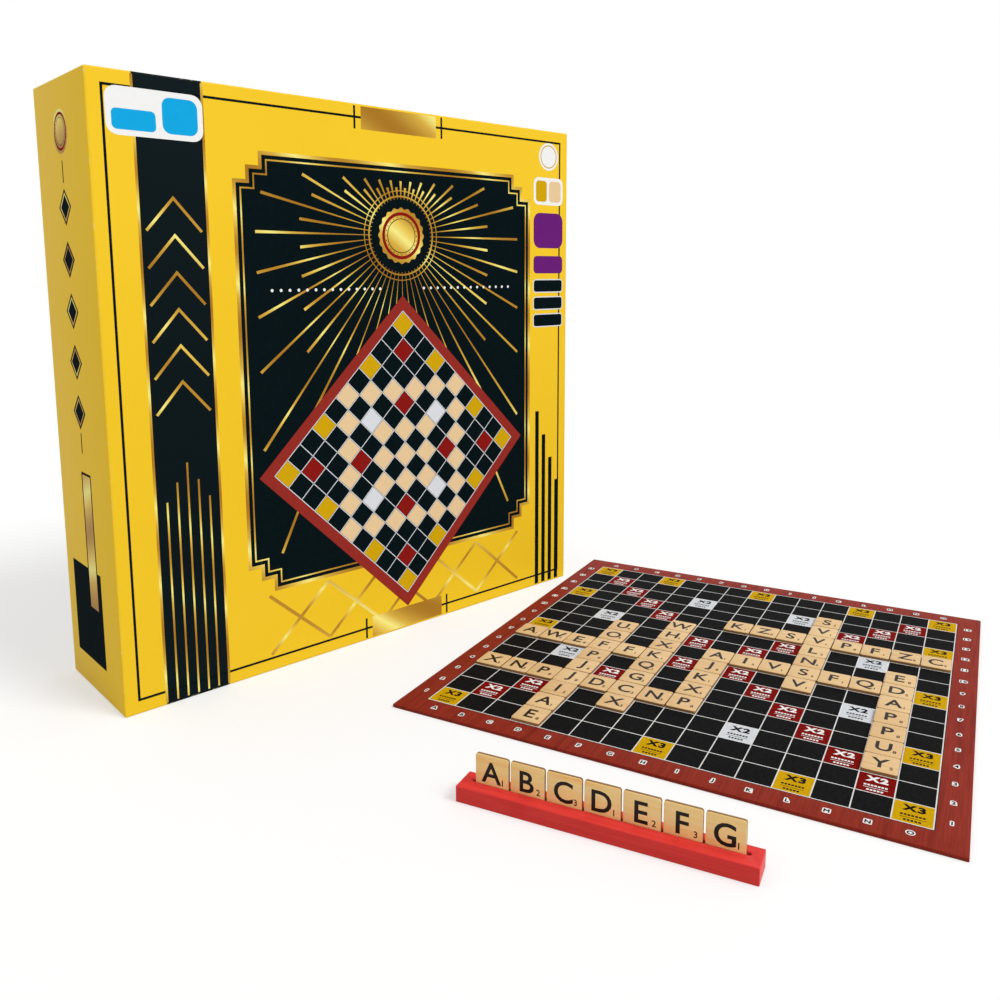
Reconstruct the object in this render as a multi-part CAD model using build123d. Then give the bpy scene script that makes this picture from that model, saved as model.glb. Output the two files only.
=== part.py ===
import os

from build123d import *

# A word board game set out for play, in millimetres, +Z up.
# The closed game box stands on one side wall with its cover facing -Y. The board lies flat in front of
# the box's right corner with its words laid out, and one rack of letter tiles stands before the board.
# Unless a comment says otherwise, a piece is modelled from its own near left corner and then placed.

# Letter tile
tile_width = 14.5
tile_thickness = 1.5
tile_corner = 1.0  # taken off each corner
tile_edge = 0.2  # taken off round the lettered face

# Board: a greyboard core, a printed face sheet turned in round its edges, and a backing sheet
cells_across = 15
cell_play = 0.5  # what a cell is wider than a tile
board_border = 12.5
core_thickness = 1.2
face_sheet = 0.25
backing_sheet = 0.25
turn_in = 14.0
sheet_gap = 0.2  # between the turned-in edge and the backing sheet

# Rack: a bar with one long groove that the tiles stand in
tiles_on_rack = 7
rack_tile_spacing = 0.9
rack_depth = 12.0
rack_height = 6.8
rack_end = 4.1  # solid bar beyond each end of the groove
rack_edge = 0.4
groove_depth = 2.2
groove_clearance = 0.2  # between a tile and each long wall of the groove
groove_spare = 1.8  # groove past the first and the last tile
groove_front = 5.9  # from the rack's front to the groove

# Game box: a full-depth lid over a tray, both of greyboard with a glued printed wrap
box_width = 296.0
box_height = 296.0
box_depth = 72.0
lid_board = 2.0
tray_board = 2.0
wrap_paper = 0.25
wrap_lip = 15.0  # of the wrap, turned in over the rim
wrap_radius = 0.9  # how the wrapped outer edges are rounded
telescope_gap = 0.4  # between lid and tray, on each side
rim_gap = 0.3  # between the tray's rim and the inside of the cover

# Folded card insert: a raised deck on each side of one long trough
insert_card = 1.2
insert_gap = 0.3  # between the insert and each side wall of the tray
fold_radius = 0.4  # inside of a fold
deck_drop = 6.0  # from the tray's rim to the decks, which leaves the board's bay
trough_play = 3.0  # between a stored rack and each wall of the trough

# What is stored in the box while the rest is in play
spare_racks = 3
spare_tiles = 37
stack_gap = 0.1
leaflet_margin = 3.5  # deck left bare on each side of the leaflet
leaflet_height = 210.0
leaf_thickness = 0.3
leaf_gap = 0.2

# Where the board and the rack lie
board_turn = -70.5  # of the board's front edge, from the cover's plane
board_clear = 6.0  # between the board's left edge and the box's near right corner
board_lead = 211.0  # board left of that corner, along the board's left edge
rack_turn = 2.5  # of the rack, from the board's front edge
rack_start = 68.0  # along the board's front edge
rack_gap = 41.0  # from the board's front edge to the back of the rack, at its left end

# Sizes that follow from these
cell_size = tile_width + cell_play
board_size = cells_across * cell_size + 2 * board_border
board_thickness = backing_sheet + core_thickness + face_sheet
rack_pitch = tile_width + rack_tile_spacing
groove_width = tile_thickness + 2 * groove_clearance
groove_length = tiles_on_rack * rack_pitch - rack_tile_spacing + 2 * groove_spare
rack_length = groove_length + 2 * rack_end
tray_offset = 2 * wrap_paper + lid_board + telescope_gap
tray_width = box_width - 2 * tray_offset
tray_height = box_height - 2 * tray_offset
tray_rim = wrap_paper + lid_board + rim_gap
tray_floor = box_depth - wrap_paper - tray_board
tray_inside = tray_offset + 2 * wrap_paper + tray_board
insert_width = box_width - 2 * tray_inside - 2 * insert_gap
insert_height = box_height - 2 * tray_inside - 2 * insert_gap
insert_left = tray_inside + insert_gap
deck_face = tray_rim + deck_drop
trough_width = rack_length + 2 * trough_play
deck_width = (insert_width - trough_width) / 2
trough_floor = tray_floor - insert_card
leaflet_width = deck_width - 2 * leaflet_margin

# The words on the board: first letter's column and row, how many tiles, and which way they run.
# Columns count from the left edge and rows from the front edge, and a word that crosses an earlier one
# leaves the shared tile to it.
words = {
    "word_row_4": (1, 4, 8, "across"),
    "word_column_4": (4, 1, 9, "up"),
    "word_row_7": (1, 7, 6, "across"),
    "word_column_6": (6, 3, 8, "up"),
    "word_column_8": (8, 4, 5, "up"),
    "word_row_8": (8, 8, 6, "across"),
    "word_column_11": (11, 7, 7, "up"),
    "word_row_11": (8, 11, 8, "across"),
    "word_column_14": (14, 3, 7, "up"),
}


def soft_block(width, depth, height, radius):
    # a block from its near left corner, with every edge rounded but those at the back
    block = Pos(width / 2, depth / 2, height / 2) * Box(width, depth, height)
    edges = [edge for edge in block.edges() if edge.center().Y < depth - radius]
    return fillet(edges, radius)


def make_half(width, depth, height, board):
    # lid or tray with its panel in front and its open side behind: the greyboard, and the wrap that is
    # glued round it, folded over the rim and turned in
    middle = Pos(width / 2, 0, height / 2)
    skin = soft_block(width, depth, height, wrap_radius)
    inner_size = (width - 2 * wrap_paper, depth - 2 * wrap_paper, height - 2 * wrap_paper)
    core = Pos(wrap_paper, wrap_paper, wrap_paper) * soft_block(*inner_size, wrap_radius - wrap_paper)
    wall = wrap_paper + board
    hollow = middle * Pos(0, wall + depth / 2, 0) * Box(width - 2 * wall, depth, height - 2 * wall)
    greyboard = core - hollow
    lined = wall + wrap_paper
    mouth = middle * Pos(0, depth, 0) * Box(width - 2 * lined, 2 * wrap_lip, height - 2 * lined)
    deep = depth - wall - wrap_lip
    well = middle * Pos(0, wall + deep / 2, 0) * Box(width - 2 * wall, deep, height - 2 * wall)
    return greyboard, skin - greyboard - mouth - well


def make_lid():
    return make_half(box_width, box_depth, box_height, lid_board)


def make_tray():
    # open towards the cover, with its panel flush with the lid's rim
    turned = Pos(tray_offset + tray_width, box_depth, tray_offset) * Rot(0, 0, 180)
    halves = make_half(tray_width, box_depth - tray_rim, tray_height, tray_board)
    return [turned * half for half in halves]


def make_insert():
    # one strip of card, folded into leg, deck, trough wall, trough floor, trough wall, deck and leg
    right = insert_left + insert_width
    trough_left = insert_left + deck_width
    trough_right = right - deck_width
    skin = [
        (insert_left, tray_floor),
        (insert_left, deck_face),
        (trough_left, deck_face),
        (trough_left, trough_floor),
        (trough_right, trough_floor),
        (trough_right, deck_face),
        (right, deck_face),
        (right, tray_floor),
    ]
    raised = fold_radius + insert_card
    folds = [raised, raised, fold_radius, fold_radius, raised, raised]
    strip = offset(FilletPolyline(*skin, radius=folds), insert_card, side=Side.LEFT)
    return Pos(0, 0, tray_inside) * extrude(make_face(strip), insert_height, dir=(0, 0, 1))


def make_leaflet():
    # a sheet folded once along its length, standing on the tray's wall against the left deck
    left = insert_left + leaflet_margin
    right = left + leaflet_width
    fold = leaf_thickness + leaf_gap / 2
    front = deck_face - 2 * fold
    skin = [
        Line((right, front), (left + fold, front)),
        CenterArc((left + fold, front + fold), fold, 270, -180),
        Line((left + fold, deck_face), (right, deck_face)),
    ]
    sheet = offset(Wire(skin), leaf_thickness, side=Side.RIGHT)
    return Pos(0, 0, tray_inside) * extrude(make_face(sheet), leaflet_height, dir=(0, 0, 1))


def make_tile():
    # centred on its own middle, lying face up, with its corners and the face's edges eased
    outline = chamfer(Rectangle(tile_width, tile_width).vertices(), tile_corner)
    block = extrude(outline, tile_thickness)
    return chamfer(block.faces().sort_by(Axis.Z)[-1].edges(), tile_edge)


def make_rack():
    bar = Pos(rack_length / 2, rack_depth / 2, rack_height / 2) * Box(rack_length, rack_depth, rack_height)
    edges = bar.edges().filter_by(Axis.Z) + bar.faces().sort_by(Axis.Z)[-1].edges()
    bar = fillet(edges, rack_edge)
    groove = extrude(SlotOverall(groove_length, groove_width), groove_depth)
    middle = groove_front + groove_width / 2
    return bar - Pos(rack_length / 2, middle, rack_height - groove_depth) * groove


def make_spare_tiles():
    # rows of tiles lying against the trough's floor, piled on the stored racks
    pitch = tile_width + stack_gap
    per_row = int(trough_width // pitch)
    row_start = box_width / 2 - (per_row * pitch - stack_gap) / 2 + tile_width / 2
    pile_start = tray_inside + spare_racks * (rack_depth + stack_gap) + tile_width / 2
    tile = Rot(90, 0, 0) * make_tile()
    tiles = []
    for number in range(spare_tiles):
        row, place = divmod(number, per_row)
        tiles.append(Pos(row_start + place * pitch, trough_floor, pile_start + row * pitch) * tile)
    return Compound(children=tiles)


def make_spare_rack(number):
    # laid across the trough with its groove towards the cover
    left = (box_width - rack_length) / 2
    return Pos(left, trough_floor, tray_inside + number * (rack_depth + stack_gap)) * Rot(90, 0, 0) * make_rack()


def make_board_core():
    size = board_size - 2 * face_sheet
    height = backing_sheet + core_thickness / 2
    return Pos(board_size / 2, board_size / 2, height) * Box(size, size, core_thickness)


def make_board_backing():
    size = board_size - 2 * (turn_in + sheet_gap)
    return Pos(board_size / 2, board_size / 2, backing_sheet / 2) * Box(size, size, backing_sheet)


def make_board_face():
    # the printed sheet: over the top, down the four edges and turned in underneath
    middle = Pos(board_size / 2, board_size / 2, 0)
    block = middle * Pos(0, 0, board_thickness / 2) * Box(board_size, board_size, board_thickness)
    inner = board_size - 2 * turn_in
    window = middle * Pos(0, 0, backing_sheet / 2) * Box(inner, inner, backing_sheet)
    return block - make_board_core() - window


def cell_middle(column, row):
    return Pos(
        board_border + (column - 0.5) * cell_size,
        board_border + (row - 0.5) * cell_size,
        board_thickness,
    )


def make_words():
    # one node for each word, holding the tiles that no earlier word holds
    taken = set()
    nodes = {}
    for name, (column, row, count, direction) in words.items():
        step = (1, 0) if direction == "across" else (0, 1)
        cells = [(column + step[0] * place, row + step[1] * place) for place in range(count)]
        fresh = [cell for cell in cells if cell not in taken]
        taken.update(fresh)
        nodes[name] = Compound(children=[cell_middle(*cell) * make_tile() for cell in fresh])
    return nodes


def make_rack_tile(number):
    # standing in the groove with its face to the front
    left = rack_end + groove_spare + number * rack_pitch + tile_width / 2
    back = groove_front + groove_clearance + tile_thickness
    seat = rack_height - groove_depth
    return Pos(left, back, seat + tile_width / 2) * Rot(90, 0, 0) * make_tile()


# The board is placed from the box's near right corner, and the rack from the board's front edge
along_edge = Vector(1, 0, 0).rotate(Axis.Z, board_turn + 90)
away_from_box = Vector(1, 0, 0).rotate(Axis.Z, board_turn)
board_corner = Vector(box_width, 0, 0) + away_from_box * board_clear - along_edge * board_lead
board_place = Location(board_corner, (0, 0, board_turn))
rack_place = board_place * Location((rack_start, -rack_gap - rack_depth, 0), (0, 0, rack_turn))

lid_core, lid_skin = make_lid()
tray_core, tray_skin = make_tray()
box_nodes = {
    "lid_board": lid_core,
    "lid_wrap": lid_skin,
    "tray_board": tray_core,
    "tray_wrap": tray_skin,
    "folded_insert": make_insert(),
    "rules_leaflet": make_leaflet(),
    "spare_tiles": make_spare_tiles(),
}
for number in range(spare_racks):
    box_nodes[f"spare_rack_{number + 1}"] = make_spare_rack(number)

board_nodes = {
    "board_core": make_board_core(),
    "board_face": make_board_face(),
    "board_backing": make_board_backing(),
    **make_words(),
}

rack_nodes = {"rack": make_rack()}
for number in range(tiles_on_rack):
    rack_nodes[f"rack_tile_{number + 1}"] = make_rack_tile(number)

pieces = dict(box_nodes)
for name, shape in board_nodes.items():
    pieces[name] = board_place * shape
for name, shape in rack_nodes.items():
    pieces[name] = rack_place * shape

# The origin is the middle of the whole set's footprint, on the surface that it stands on
extents = [pieces[name].bounding_box() for name in ("lid_wrap", "board_face", "rack")]
middle_x = (min(box.min.X for box in extents) + max(box.max.X for box in extents)) / 2
middle_y = (min(box.min.Y for box in extents) + max(box.max.Y for box in extents)) / 2
to_origin = Pos(-middle_x, -middle_y, 0)

os.makedirs("parts", exist_ok=True)
for name, shape in pieces.items():
    export_step(to_origin * shape, f"parts/{name}.step")

print(f"{len(pieces)} nodes, board {board_size:.1f}, rack {rack_length:.1f}")
print(f"box corner at {to_origin.position}, board corner at {(to_origin * board_place).position}")
print(f"rack corner at {(to_origin * rack_place).position}")
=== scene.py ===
import random
from math import cos, pi, radians, sin, tau

import bmesh
import bpy
from mathutils import Matrix, Vector
from mathutils.geometry import convex_hull_2d


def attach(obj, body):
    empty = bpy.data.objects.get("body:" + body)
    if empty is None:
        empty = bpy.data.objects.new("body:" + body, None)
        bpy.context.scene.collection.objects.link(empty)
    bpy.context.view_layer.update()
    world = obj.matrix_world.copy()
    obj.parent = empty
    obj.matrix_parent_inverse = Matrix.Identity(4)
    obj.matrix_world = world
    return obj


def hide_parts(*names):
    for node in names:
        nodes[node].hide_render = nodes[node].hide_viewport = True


# Word board game set out for play: the game box, the board with its words, and a rack of letter tiles.
# Every piece has its own local frame, with its origin at the piece's near left corner, and drawings on a
# face are given in millimetres on that face: u to the right, v up, and levels of ink out of it.

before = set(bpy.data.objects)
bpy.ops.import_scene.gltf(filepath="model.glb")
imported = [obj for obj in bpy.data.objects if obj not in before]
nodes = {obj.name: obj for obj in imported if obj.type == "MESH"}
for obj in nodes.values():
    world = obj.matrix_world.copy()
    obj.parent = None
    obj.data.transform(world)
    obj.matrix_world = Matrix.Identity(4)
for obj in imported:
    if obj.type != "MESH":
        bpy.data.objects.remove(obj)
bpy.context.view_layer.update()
dice = random.Random(7)  # seeded, so that the tiles lie the same way in each run
mm = 0.001


def shade(*screen):  # a screen colour, 0 to 255, as a linear one
    parts = [part / 255 for part in screen]
    return (*(part / 12.92 if part < 0.0405 else ((part + 0.055) / 1.055) ** 2.4 for part in parts), 1.0)


def summing(operation, turned=False):  # a method that adds a Math node
    def method(self, *others):
        values = (self, *others)
        return self.finish.add("Math", {"operation": operation}, values[::-1] if turned else values)
    return method


class Wire:  # a shader socket that can be used in sums
    def __init__(self, finish, socket):
        self.finish = finish
        self.socket = socket

    __add__, __radd__ = summing("ADD"), summing("ADD", True)
    __sub__, __rsub__ = summing("SUBTRACT"), summing("SUBTRACT", True)
    __mul__, __rmul__ = summing("MULTIPLY"), summing("MULTIPLY", True)
    __truediv__, __rtruediv__ = summing("DIVIDE"), summing("DIVIDE", True)
    __gt__, __lt__ = summing("GREATER_THAN"), summing("LESS_THAN")
    least, most, sine = summing("MINIMUM"), summing("MAXIMUM"), summing("SINE")

    def ease(self, low, high):  # 0 at low and 1 at high
        ends = {"interpolation_type": "SMOOTHSTEP"}
        return self.finish.add("MapRange", ends, {"Value": self, "From Min": low, "From Max": high})


class NodeTree:  # the nodes of a material or of the world
    def __init__(self, tree):
        self.tree = tree

    def add(self, kind, settings=None, values=(), output=0):
        node = self.tree.nodes.new("ShaderNode" + kind)
        for key, value in (settings or {}).items():
            if key == "stops":
                fillRamp(node.color_ramp, value)
            else:
                setattr(node, key, value)
        pairs = values.items() if isinstance(values, dict) else enumerate(values)
        for key, value in pairs:
            if isinstance(value, Wire):
                self.tree.links.new(value.socket, node.inputs[key])
            else:
                node.inputs[key].default_value = value
        return Wire(self, node.outputs[output])

    def vector(self, operation, *values, output=0):
        return self.add("VectorMath", {"operation": operation}, values, output)

    def mix(self, factor, under, over, blend="MIX"):
        return self.add("Mix", {"data_type": "RGBA", "blend_type": blend}, {0: factor, 6: under, 7: over}, 2)

    def rays(self):  # 1 for what the camera sees, also in a mirror or through glass
        kinds = ("Camera", "Glossy", "Transmission")
        camera, glossy, glass = [self.add("LightPath", output="Is %s Ray" % kind) for kind in kinds]
        return camera.most(glossy).most(glass)

    def light(self, kind, strength):  # plain white light
        return self.add(kind, {}, {"Color": (1, 1, 1, 1), "Strength": strength})

    def surface(self, wire):
        out = next(node for node in self.tree.nodes if node.bl_idname.startswith("ShaderNodeOutput"))
        self.tree.links.new(wire.socket, out.inputs["Surface"])


class Finish(NodeTree):  # one material
    def __init__(self, name, roughness, gloss=0.5):
        self.material = bpy.data.materials.new(name)
        self.material.use_nodes = True
        super().__init__(self.material.node_tree)
        self.shader = self.tree.nodes["Principled BSDF"]
        self.fix("Roughness", roughness)
        self.fix("Specular IOR Level", gloss)
        self.roughness = roughness
        self.place = self.add("TexCoord", output="Object")  # local coordinates, in metres

    def fix(self, socket, value):
        self.shader.inputs[socket].default_value = value

    def link(self, socket, value):
        self.tree.links.new(value.socket, self.shader.inputs[socket])

    def axes(self):
        return [self.add("SeparateXYZ", {}, [self.place], output) for output in range(3)]

    def grain(self, name, place=None):  # a noise from the table of grains
        repeats, detail, roughness = grains[name]
        if isinstance(repeats, float):
            repeats = (repeats, repeats, repeats)
        where = self.vector("MULTIPLY", place or self.place, repeats)
        values = {"Vector": where, "Scale": 1.0, "Detail": detail, "Roughness": roughness}
        return self.add("TexNoise", {}, values)

    def layers(self, colour, *others):  # colours laid over each other, each with its share
        for share, over in others:
            colour = self.mix(share, colour, over)
        return colour

    def paint(self, *colours):
        self.link("Base Color", self.layers(*colours))

    def dull(self, grain, spread):  # the finish's roughness, moved up and down by a grain
        self.link("Roughness", grain * spread + (self.roughness - spread / 2))

    def emboss(self, height, name):  # a bump from the table of reliefs
        depth, strength = reliefs[name]
        values = {"Strength": strength, "Distance": depth * mm, "Height": height}
        self.link("Normal", self.add("Bump", {}, values))


def fillRamp(ramp, stops):
    while len(ramp.elements) < len(stops):
        ramp.elements.new(1.0)
    for element, (position, colour) in zip(ramp.elements, stops):
        element.position = position
        element.color = colour


def arcPoints(middle, radius, start, end, steps):
    turns = [radians(start + (end - start) * step / steps) for step in range(steps + 1)]
    return [(middle[0] + radius * cos(turn), middle[1] + radius * sin(turn)) for turn in turns]


def ringPoints(middle, radius, count):
    return arcPoints(middle, radius, 0, 360 * (count - 1) / count, count - 1)


def roundedOutline(width, height, radius, steps, middle):
    points = []
    for quarter, (sideU, sideV) in enumerate([(1, 1), (-1, 1), (-1, -1), (1, -1)]):
        corner = (middle[0] + sideU * (width / 2 - radius), middle[1] + sideV * (height / 2 - radius))
        points += arcPoints(corner, radius, 90 * quarter, 90 * quarter + 90, steps)
    return points


def evenly(first, count, pitch):
    return [first + number * pitch for number in range(count)]


def boxOutline(left, low, right, high):
    return [(left, low), (right, low), (right, high), (left, high)]


def inset(bounds, gap):
    left, low, right, high = bounds
    return (left + gap, low + gap, right - gap, high - gap)


def middleOf(bounds):
    return (Vector(bounds[:2]) + Vector(bounds[2:])) / 2


def diamond(middle, half):
    u, v = middle
    return [(u - half, v), (u, v - half), (u + half, v), (u, v + half)]


def besideLine(points, distance, closed, sharpest=0.2):  # a line moved to its left, its corners mitred
    points = [Vector(point) for point in points]
    runs = [after - before for before, after in zip(points, points[1:] + points[:1])]
    normals = [Vector((-run.y, run.x)).normalized() for run in runs]
    if not closed:
        normals[-1] = normals[-2]
    before = normals[-1:] + normals[:-1] if closed else normals[:1] + normals[:-1]
    moved = []
    for point, first, second in zip(points, before, normals):
        bisector = (first + second).normalized()
        moved.append(tuple(point + bisector * distance / max(sharpest, bisector.dot(first))))
    return moved


def corners(points):  # the lowest and the highest corner of the box round some points
    points = list(points)
    return [Vector([pick(point[axis] for point in points) for axis in range(3)]) for pick in (min, max)]


def sideQuads(first, second):
    count = len(first)
    return [(first[i], first[(i + 1) % count], second[(i + 1) % count], second[i]) for i in range(count)]


def loft(mesh, rings, place):  # a closed skin through rings with as many points
    loops = [[mesh.verts.new(place @ point) for point in ring] for ring in rings]
    faces = [mesh.faces.new(loops[0]), mesh.faces.new(loops[-1])]
    for first, second in zip(loops, loops[1:]):
        faces += [mesh.faces.new(quad) for quad in sideQuads(first, second)]
    return faces


def profileRings(profile, wide, high, form, middle=(0, 0)):  # outlines at a profile's insets and levels
    rings = []
    for inward, level in profile:
        corner = max(form["least"], form["corner"] - inward * form["taper"])
        outline = roundedOutline(wide - 2 * inward, high - 2 * inward, corner, form["steps"], middle)
        rings.append([Vector((u, v, level)) for u, v in outline])
    return rings


def sheetShape(profile, wide, high, form, toPlace):  # one closed sheet
    shape = bmesh.new()
    rings = profileRings(profile, wide, high, form, (wide / 2, high / 2))
    loft(shape, rings, toPlace @ Matrix.Scale(mm, 4))
    bmesh.ops.recalc_face_normals(shape, faces=shape.faces)
    return shape


def give(thing, **settings):
    for key, value in settings.items():
        setattr(thing, key, value)


def newObject(name, data):
    made = bpy.data.objects.new(name, data)
    bpy.context.scene.collection.objects.link(made)
    return made


def settledMesh(thing):  # its mesh as the modifiers or the curve's settings leave it
    return bpy.data.meshes.new_from_object(thing.evaluated_get(bpy.context.evaluated_depsgraph_get()))


def stamp(shape, sign, place, material):  # adds a copy of a sign's mesh
    copy = sign.copy()
    copy.transform(place)
    first = len(shape.faces)
    shape.from_mesh(copy)
    shape.faces.ensure_lookup_table()
    for face in shape.faces[first:]:
        face.material_index = material
    bpy.data.meshes.remove(copy)


class Drawing:  # flat printed shapes on one face, collected into one mesh
    def __init__(self, plane, layer, inks):
        self.mesh = bmesh.new()
        self.plane = plane @ Matrix.Scale(mm, 4)
        self.layer = layer
        self.inks = inks
        self.material = 0

    def ink(self, name):  # what the next shapes are printed in
        self.material = self.inks.index(name)
        return self

    def loop(self, outline, level):
        return [self.mesh.verts.new(self.plane @ Vector((u, v, self.layer * level))) for u, v in outline]

    def skin(self, loops):
        for loop in loops:
            self.mesh.faces.new(loop).material_index = self.material

    def fill(self, outline, level=1):
        foot, top = self.loop(outline, 0), self.loop(outline, level)
        self.skin([foot, top] + sideQuads(foot, top))

    def box(self, left, low, right, high, level=1):
        self.fill(boxOutline(left, low, right, high), level)

    def band(self, outer, inner, level=1):  # what lies between two outlines with as many points
        loops = [self.loop(outer, 0), self.loop(outer, level), self.loop(inner, level), self.loop(inner, 0)]
        for first, second in zip(loops, loops[1:] + loops[:1]):
            self.skin(sideQuads(first, second))

    def line(self, points, width, level=1, closed=False):
        left, right = [besideLine(points, side * width / 2, closed) for side in (1, -1)]
        if closed:
            self.band(right, left, level)
        else:
            self.fill(right + left[::-1], level)

    def disc(self, middle, radius, level=1, steps=48):
        self.fill(ringPoints(middle, radius, steps), level)

    def hoop(self, middle, radius, width, level=1, steps=64):
        outer, inner = [ringPoints(middle, radius + side * width / 2, steps) for side in (1, -1)]
        self.band(outer, inner, level)

    def sign(self, text, middle, height, weight, level=1, wide=1.0):  # plain letters and numbers
        place = self.plane @ Matrix.Translation((*middle, 0))
        stamp(self.mesh, glyph(text, height, weight, self.layer * level, wide), place, self.material)

    def signRim(self, text, middle, height, weight, rim, steps=12):  # a patch a little larger than a sign
        reach = [Vector(point) for point in ringPoints((0, 0), rim, steps)]
        vertices = glyph(text, height, weight, self.layer).vertices
        points = [vert.co.xy + away for vert in vertices for away in reach]
        self.fill([tuple(points[index] + Vector(middle)) for index in convex_hull_2d(points)])

    def piece(self, name, place, body, slot):
        bmesh.ops.recalc_face_normals(self.mesh, faces=self.mesh.faces)
        return setDown(name, self.mesh, self.inks, place, body)


lettering = {"size": 10.0, "resolution_u": 4, "space_character": 1.2, "extrude": 1}
capitals = 7.3  # how high the built-in letters' capitals are at that size
brokenLetters = {"marks": "M4", "copies": 8, "rise": 0.01}  # those that can't be drawn bolder
glyphs = {}


def glyph(text, height, weight, thickness, wide=1.0):  # a sign's mesh, centred, in millimetres
    key = (text, height, weight, thickness, wide)
    if key in glyphs:
        return glyphs[key]
    broken = weight > 0 and any(mark in text for mark in brokenLetters["marks"])
    letters = bpy.data.curves.new("sign", "FONT")
    give(letters, body=text, offset=0.0 if broken else weight, **lettering)
    holder = newObject("sign", letters)
    made = settledMesh(holder)
    bpy.data.objects.remove(holder)
    shape = bmesh.new()
    shifts = [(0, 0)] + (ringPoints((0, 0), weight, brokenLetters["copies"]) if broken else [])
    for number, (u, v) in enumerate(shifts):  # drawn again and again, a little apart and each a little higher
        first = len(shape.verts)
        shape.from_mesh(made)
        shape.verts.ensure_lookup_table()
        for vert in shape.verts[first:]:
            vert.co = (vert.co.x + u, vert.co.y + v, vert.co.z * (1 + brokenLetters["rise"] * number))
    bmesh.ops.remove_doubles(shape, verts=shape.verts, dist=1e-4)
    low, high = corners(vert.co for vert in shape.verts)
    foot = Vector(((low.x + high.x) / 2, (low.y + high.y) / 2, low.z))
    factor = height / capitals
    scale = Matrix.Diagonal((factor * wide, factor, thickness / (high.z - low.z), 1))
    shape.transform(scale @ Matrix.Translation(-foot))
    shape.to_mesh(made)
    shape.free()
    glyphs[key] = made
    return made


def setDown(name, shape, inks, place, body, replaced=(), sharp=35):
    data = bpy.data.meshes.new(name)
    shape.to_mesh(data)
    shape.free()
    data.shade_smooth()
    data.set_sharp_from_angle(angle=radians(sharp))
    for ink in inks:
        data.materials.append(finishes[ink].material)
    piece = newObject(name, data)
    piece.matrix_world = place
    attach(piece, body)
    if replaced:
        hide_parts(*replaced)
    return piece


def dress(node, ink):  # a CAD node that keeps its shape
    piece = nodes[node]
    piece.data.materials.clear()
    piece.data.materials.append(finishes[ink].material)


def localFrame(node, turn=0.0):  # the node's own frame and its size along it, in millimetres
    unturn = Matrix.Rotation(radians(-turn), 4, "Z")
    low, high = corners(unturn @ vert.co for vert in nodes[node].data.vertices)
    return unturn.inverted() @ Matrix.Translation(low), (high - low) / mm


def nodeShape(node, place, flat=0):  # a node's mesh in a local frame, its corners joined
    shape = bmesh.new()
    shape.from_mesh(nodes[node].data)
    bmesh.ops.remove_doubles(shape, verts=shape.verts, dist=1e-6)
    if flat:  # faces that are flat to so many degrees are made one
        bmesh.ops.dissolve_limit(shape, angle_limit=radians(flat), verts=shape.verts, edges=shape.edges)
    shape.transform(place.inverted())
    return shape


def nodeIslands(node, place):  # the corners of each solid of a node, in millimetres in a local frame
    shape = nodeShape(node, place)
    rest = set(shape.verts)
    found = []
    while rest:
        group = [rest.pop()]
        for vert in group:
            near = {edge.other_vert(vert) for edge in vert.link_edges} & rest
            rest -= near
            group += near
        found.append([corner / mm for corner in corners(vert.co for vert in group)])
    shape.free()
    return found


boxPlace, boxSize = localFrame("lid_wrap")
trayPlace, traySize = localFrame("tray_wrap")
boardPlace, boardSize = localFrame("board_face", -70.5)  # the turns that board and rack have in CAD
rackPlace, rackSize = localFrame("rack", -68.0)
boxWide, boxDeep, boxHigh = boxSize
for name, size in (("box", boxSize), ("board", boardSize), ("rack", rackSize)):
    print(name, [round(length, 1) for length in size])


# Finishes

grains = {  # repeats in a metre, one number or along x, y and z, then detail and roughness
    "paper": (900.0, 4.0, 0.6),
    "rub": (260.0, 5.0, 0.65),
    "boxTone": (6.0, 2.0, 0.5),
    "goldDrift": (9.0, 1.0, 0.5),
    "inkTone": (300.0, 3.0, 0.5),
    "greyFibres": ((900.0, 900.0, 315.0), 5.0, 0.7),
    "greyFlecks": (2400.0, 2.0, 0.5),
    "cardCloud": (40.0, 3.0, 0.5),
    "cardFibres": (1500.0, 4.0, 0.65),
    "boardTile": ((55.0, 900.0, 900.0), 4.0, 0.6),
    "rackTile": ((45.0, 900.0, 900.0), 4.0, 0.6),
    "tileStreaks": ((18.0, 260.0, 260.0), 3.0, 0.55),
    "tilePores": ((160.0, 3600.0, 3600.0), 2.0, 0.5),
    "letter": (1800.0, 3.0, 0.5),
    "borderFine": ((1500.0, 45.0, 45.0), 4.0, 0.6),
    "borderBroad": ((260.0, 14.0, 14.0), 3.0, 0.5),
    "linen": ((1100.0, 275.0, 1100.0), 3.0, 0.6),
    "brush": ((30.0, 700.0, 700.0), 4.0, 0.6),
    "lacquerCloud": (60.0, 2.0, 0.5),
}
reliefs = {  # depth in millimetres and strength
    "paper": (0.012, 0.6),
    "greyboard": (0.05, 0.8),
    "card": (0.03, 0.6),
    "tile": (0.04, 0.7),
    "letter": (0.01, 1.0),
    "board": (0.02, 0.5),
    "lacquer": (0.04, 0.6),
}
printed = {
    "yellow": shade(250, 206, 44),
    "deepYellow": shade(247, 202, 38),
    "worn": shade(250, 232, 170),
    "wearWidth": 1.1,
    "wear": 0.6,
    "band": (20.0, 52.0),  # from left to right
    "gloss": 0.05,
    "inkGloss": 0.001,
    "inkLift": 0.004,
    "layer": 0.008,
    "margin": 1.2,
    "line": 1.2,
    "fineLine": 0.8,
}
gold = {
    "wave": 70.0,
    "slant": (0.55, 0.25, 0.8),
    "drift": 0.35,
    "stops": [(0.0, shade(174, 122, 38)), (0.35, shade(222, 180, 70)), (0.6, shade(255, 243, 138)),
              (0.8, shade(240, 204, 88)), (1.0, shade(188, 136, 44))],
}


def paperGrain(finish):
    grain = finish.grain("paper")
    finish.emboss(grain, "paper")
    return grain


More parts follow.
